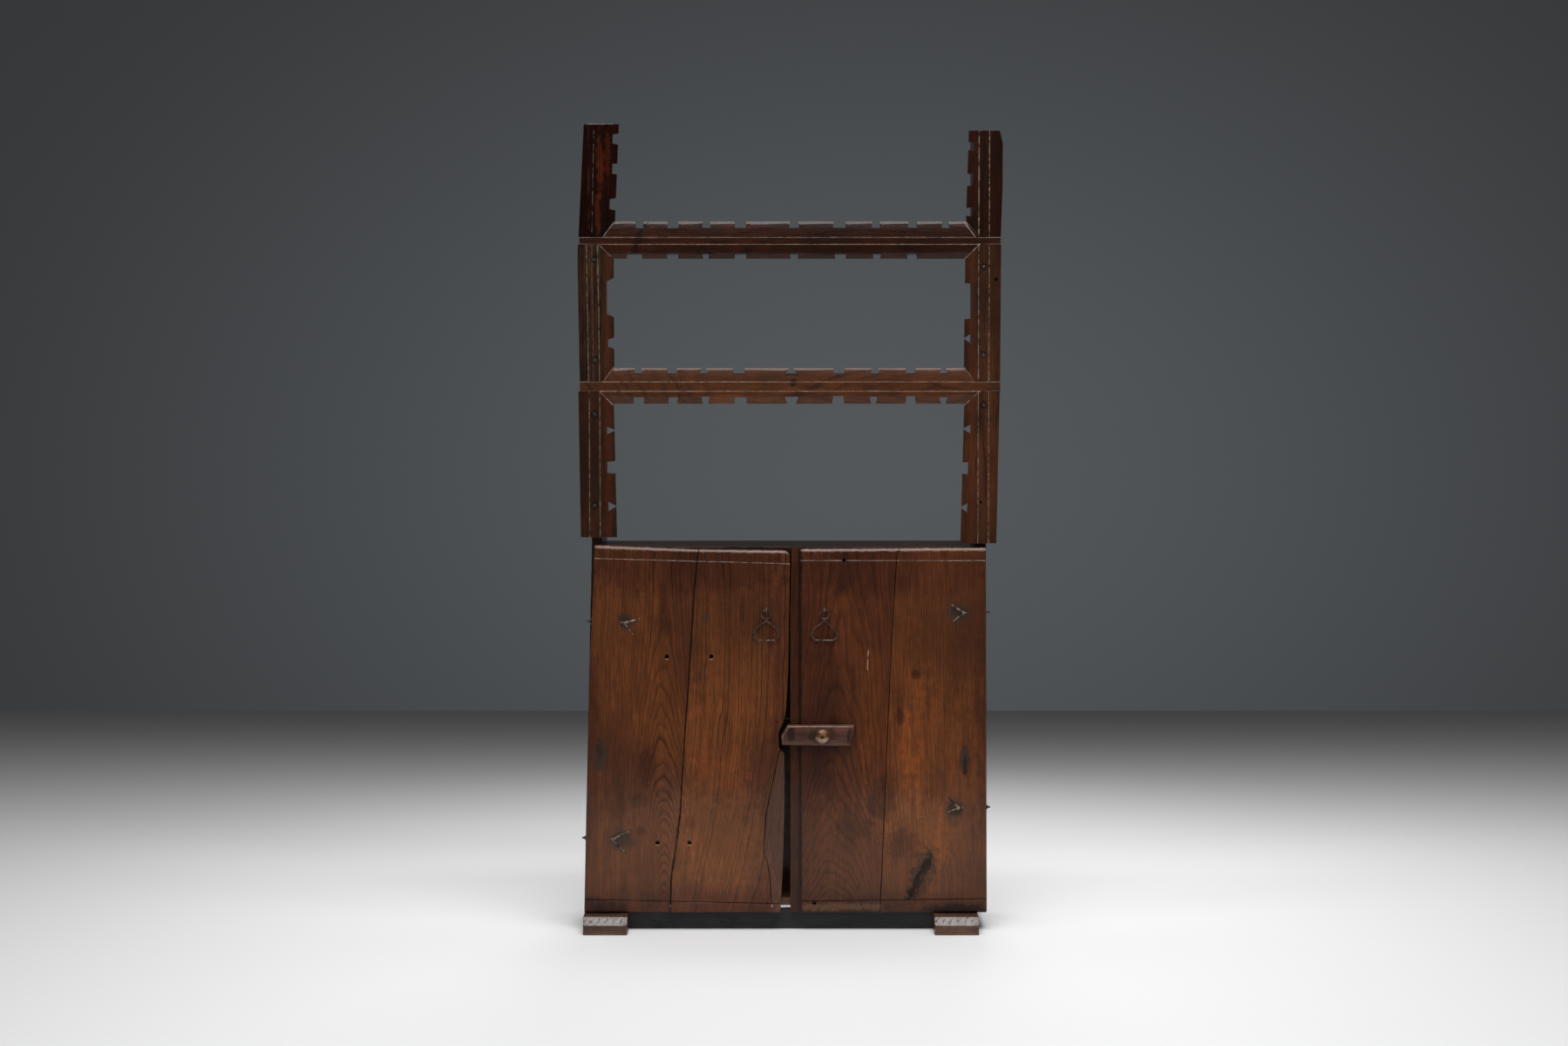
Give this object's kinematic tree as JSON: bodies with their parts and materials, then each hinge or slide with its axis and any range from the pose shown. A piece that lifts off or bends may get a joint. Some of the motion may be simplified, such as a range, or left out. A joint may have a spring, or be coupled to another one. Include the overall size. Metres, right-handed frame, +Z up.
{
  "type": "court cupboard",
  "caption": "Rustic plank court cupboard: a two-door cupboard on feet with an open plate rack above, its front frame moulded and notched, iron split-pin hinges, wooden turn button.",
  "frame": {"origin": "on the floor, under the middle of the whole object's box", "axes": "+Z up, -Y towards the front with the doors, +X to the right of someone facing the doors"},
  "size_m": [0.991, 0.334, 1.891],
  "materials": {
    "case_wood": "old oak, dark brown wax",
    "hidden_wood": "old oak, dry and unpolished",
    "rack_wood": "old oak, dark red-brown wax polish",
    "door_wood": "old oak, waxed to a soft sheen",
    "foot_wood": "worn oak, nearly black with grey worn ends",
    "iron": "wrought iron, dark brown patina",
    "brass": "dull aged brass"
  },
  "bodies": {
    "carcass": {"side_board_left": "case_wood", "side_board_right": "case_wood", "top_board": "case_wood", "bottom_board": "hidden_wood", "back_plank_1": "hidden_wood", "back_plank_2": "hidden_wood", "back_plank_3": "hidden_wood", "back_plank_4": "hidden_wood", "rack_shelf_lower": "rack_wood", "rack_shelf_upper": "rack_wood", "left_stile_upper": "rack_wood", "left_stile_middle": "rack_wood", "left_stile_lower": "rack_wood", "right_stile_upper": "rack_wood", "right_stile_middle": "rack_wood", "right_stile_lower": "rack_wood", "top_rail": "rack_wood", "top_rail_patch": "rack_wood", "middle_rail": "rack_wood", "foot_left": "foot_wood", "foot_right": "foot_wood", "plinth_board": "foot_wood", "rack_nails": "iron", "jamb_pin_left_upper": "iron", "jamb_pin_left_lower": "iron", "jamb_pin_right_upper": "iron", "jamb_pin_right_lower": "iron"},
    "left_door": {"left_door_batten_upper": "hidden_wood", "left_door_batten_lower": "hidden_wood", "left_door_outer_plank": "door_wood", "left_door_inner_plank": "door_wood", "left_door_split_strip": "door_wood", "left_door_pin_upper": "iron", "left_door_pin_lower": "iron", "left_door_batten_nails": "iron", "left_door_staple": "iron"},
    "right_door": {"right_door_batten_upper": "hidden_wood", "right_door_batten_lower": "hidden_wood", "right_door_inner_plank": "door_wood", "right_door_outer_plank": "door_wood", "right_door_pin_upper": "iron", "right_door_pin_lower": "iron", "right_door_batten_nails": "iron", "right_door_staple": "iron", "turn_button_stud": "brass"},
    "turn_button": {"turn_button": "door_wood"},
    "left_bail": {"left_bail": "iron"},
    "right_bail": {"right_bail": "iron"}
  },
  "joints": [
    {"name": "left_door_hinge", "type": "hinge", "parent": "carcass", "child": "left_door", "pos_m": [-0.47673, -0.085, 0.4735], "axis": [-0.0237, 0, -0.9997], "range_deg": [0, 170]},
    {"name": "right_door_hinge", "type": "hinge", "parent": "carcass", "child": "right_door", "pos_m": [0.46372, -0.085, 0.521], "axis": [-0.0058, 0, 1], "range_deg": [0, 170]},
    {"name": "turn_button_pivot", "type": "hinge", "parent": "right_door", "child": "turn_button", "pos_m": [0.0758, -0.111, 0.461], "axis": [0, 1, 0], "continuous": true},
    {"name": "left_bail_swing", "type": "hinge", "parent": "left_door", "child": "left_bail", "pos_m": [-0.0557, -0.1082, 0.7585], "axis": [-1, 0, 0], "range_deg": [0, 150]},
    {"name": "right_bail_swing", "type": "hinge", "parent": "right_door", "child": "right_bail", "pos_m": [0.0807, -0.1082, 0.7585], "axis": [-1, 0, 0], "range_deg": [0, 150]}
  ]
}
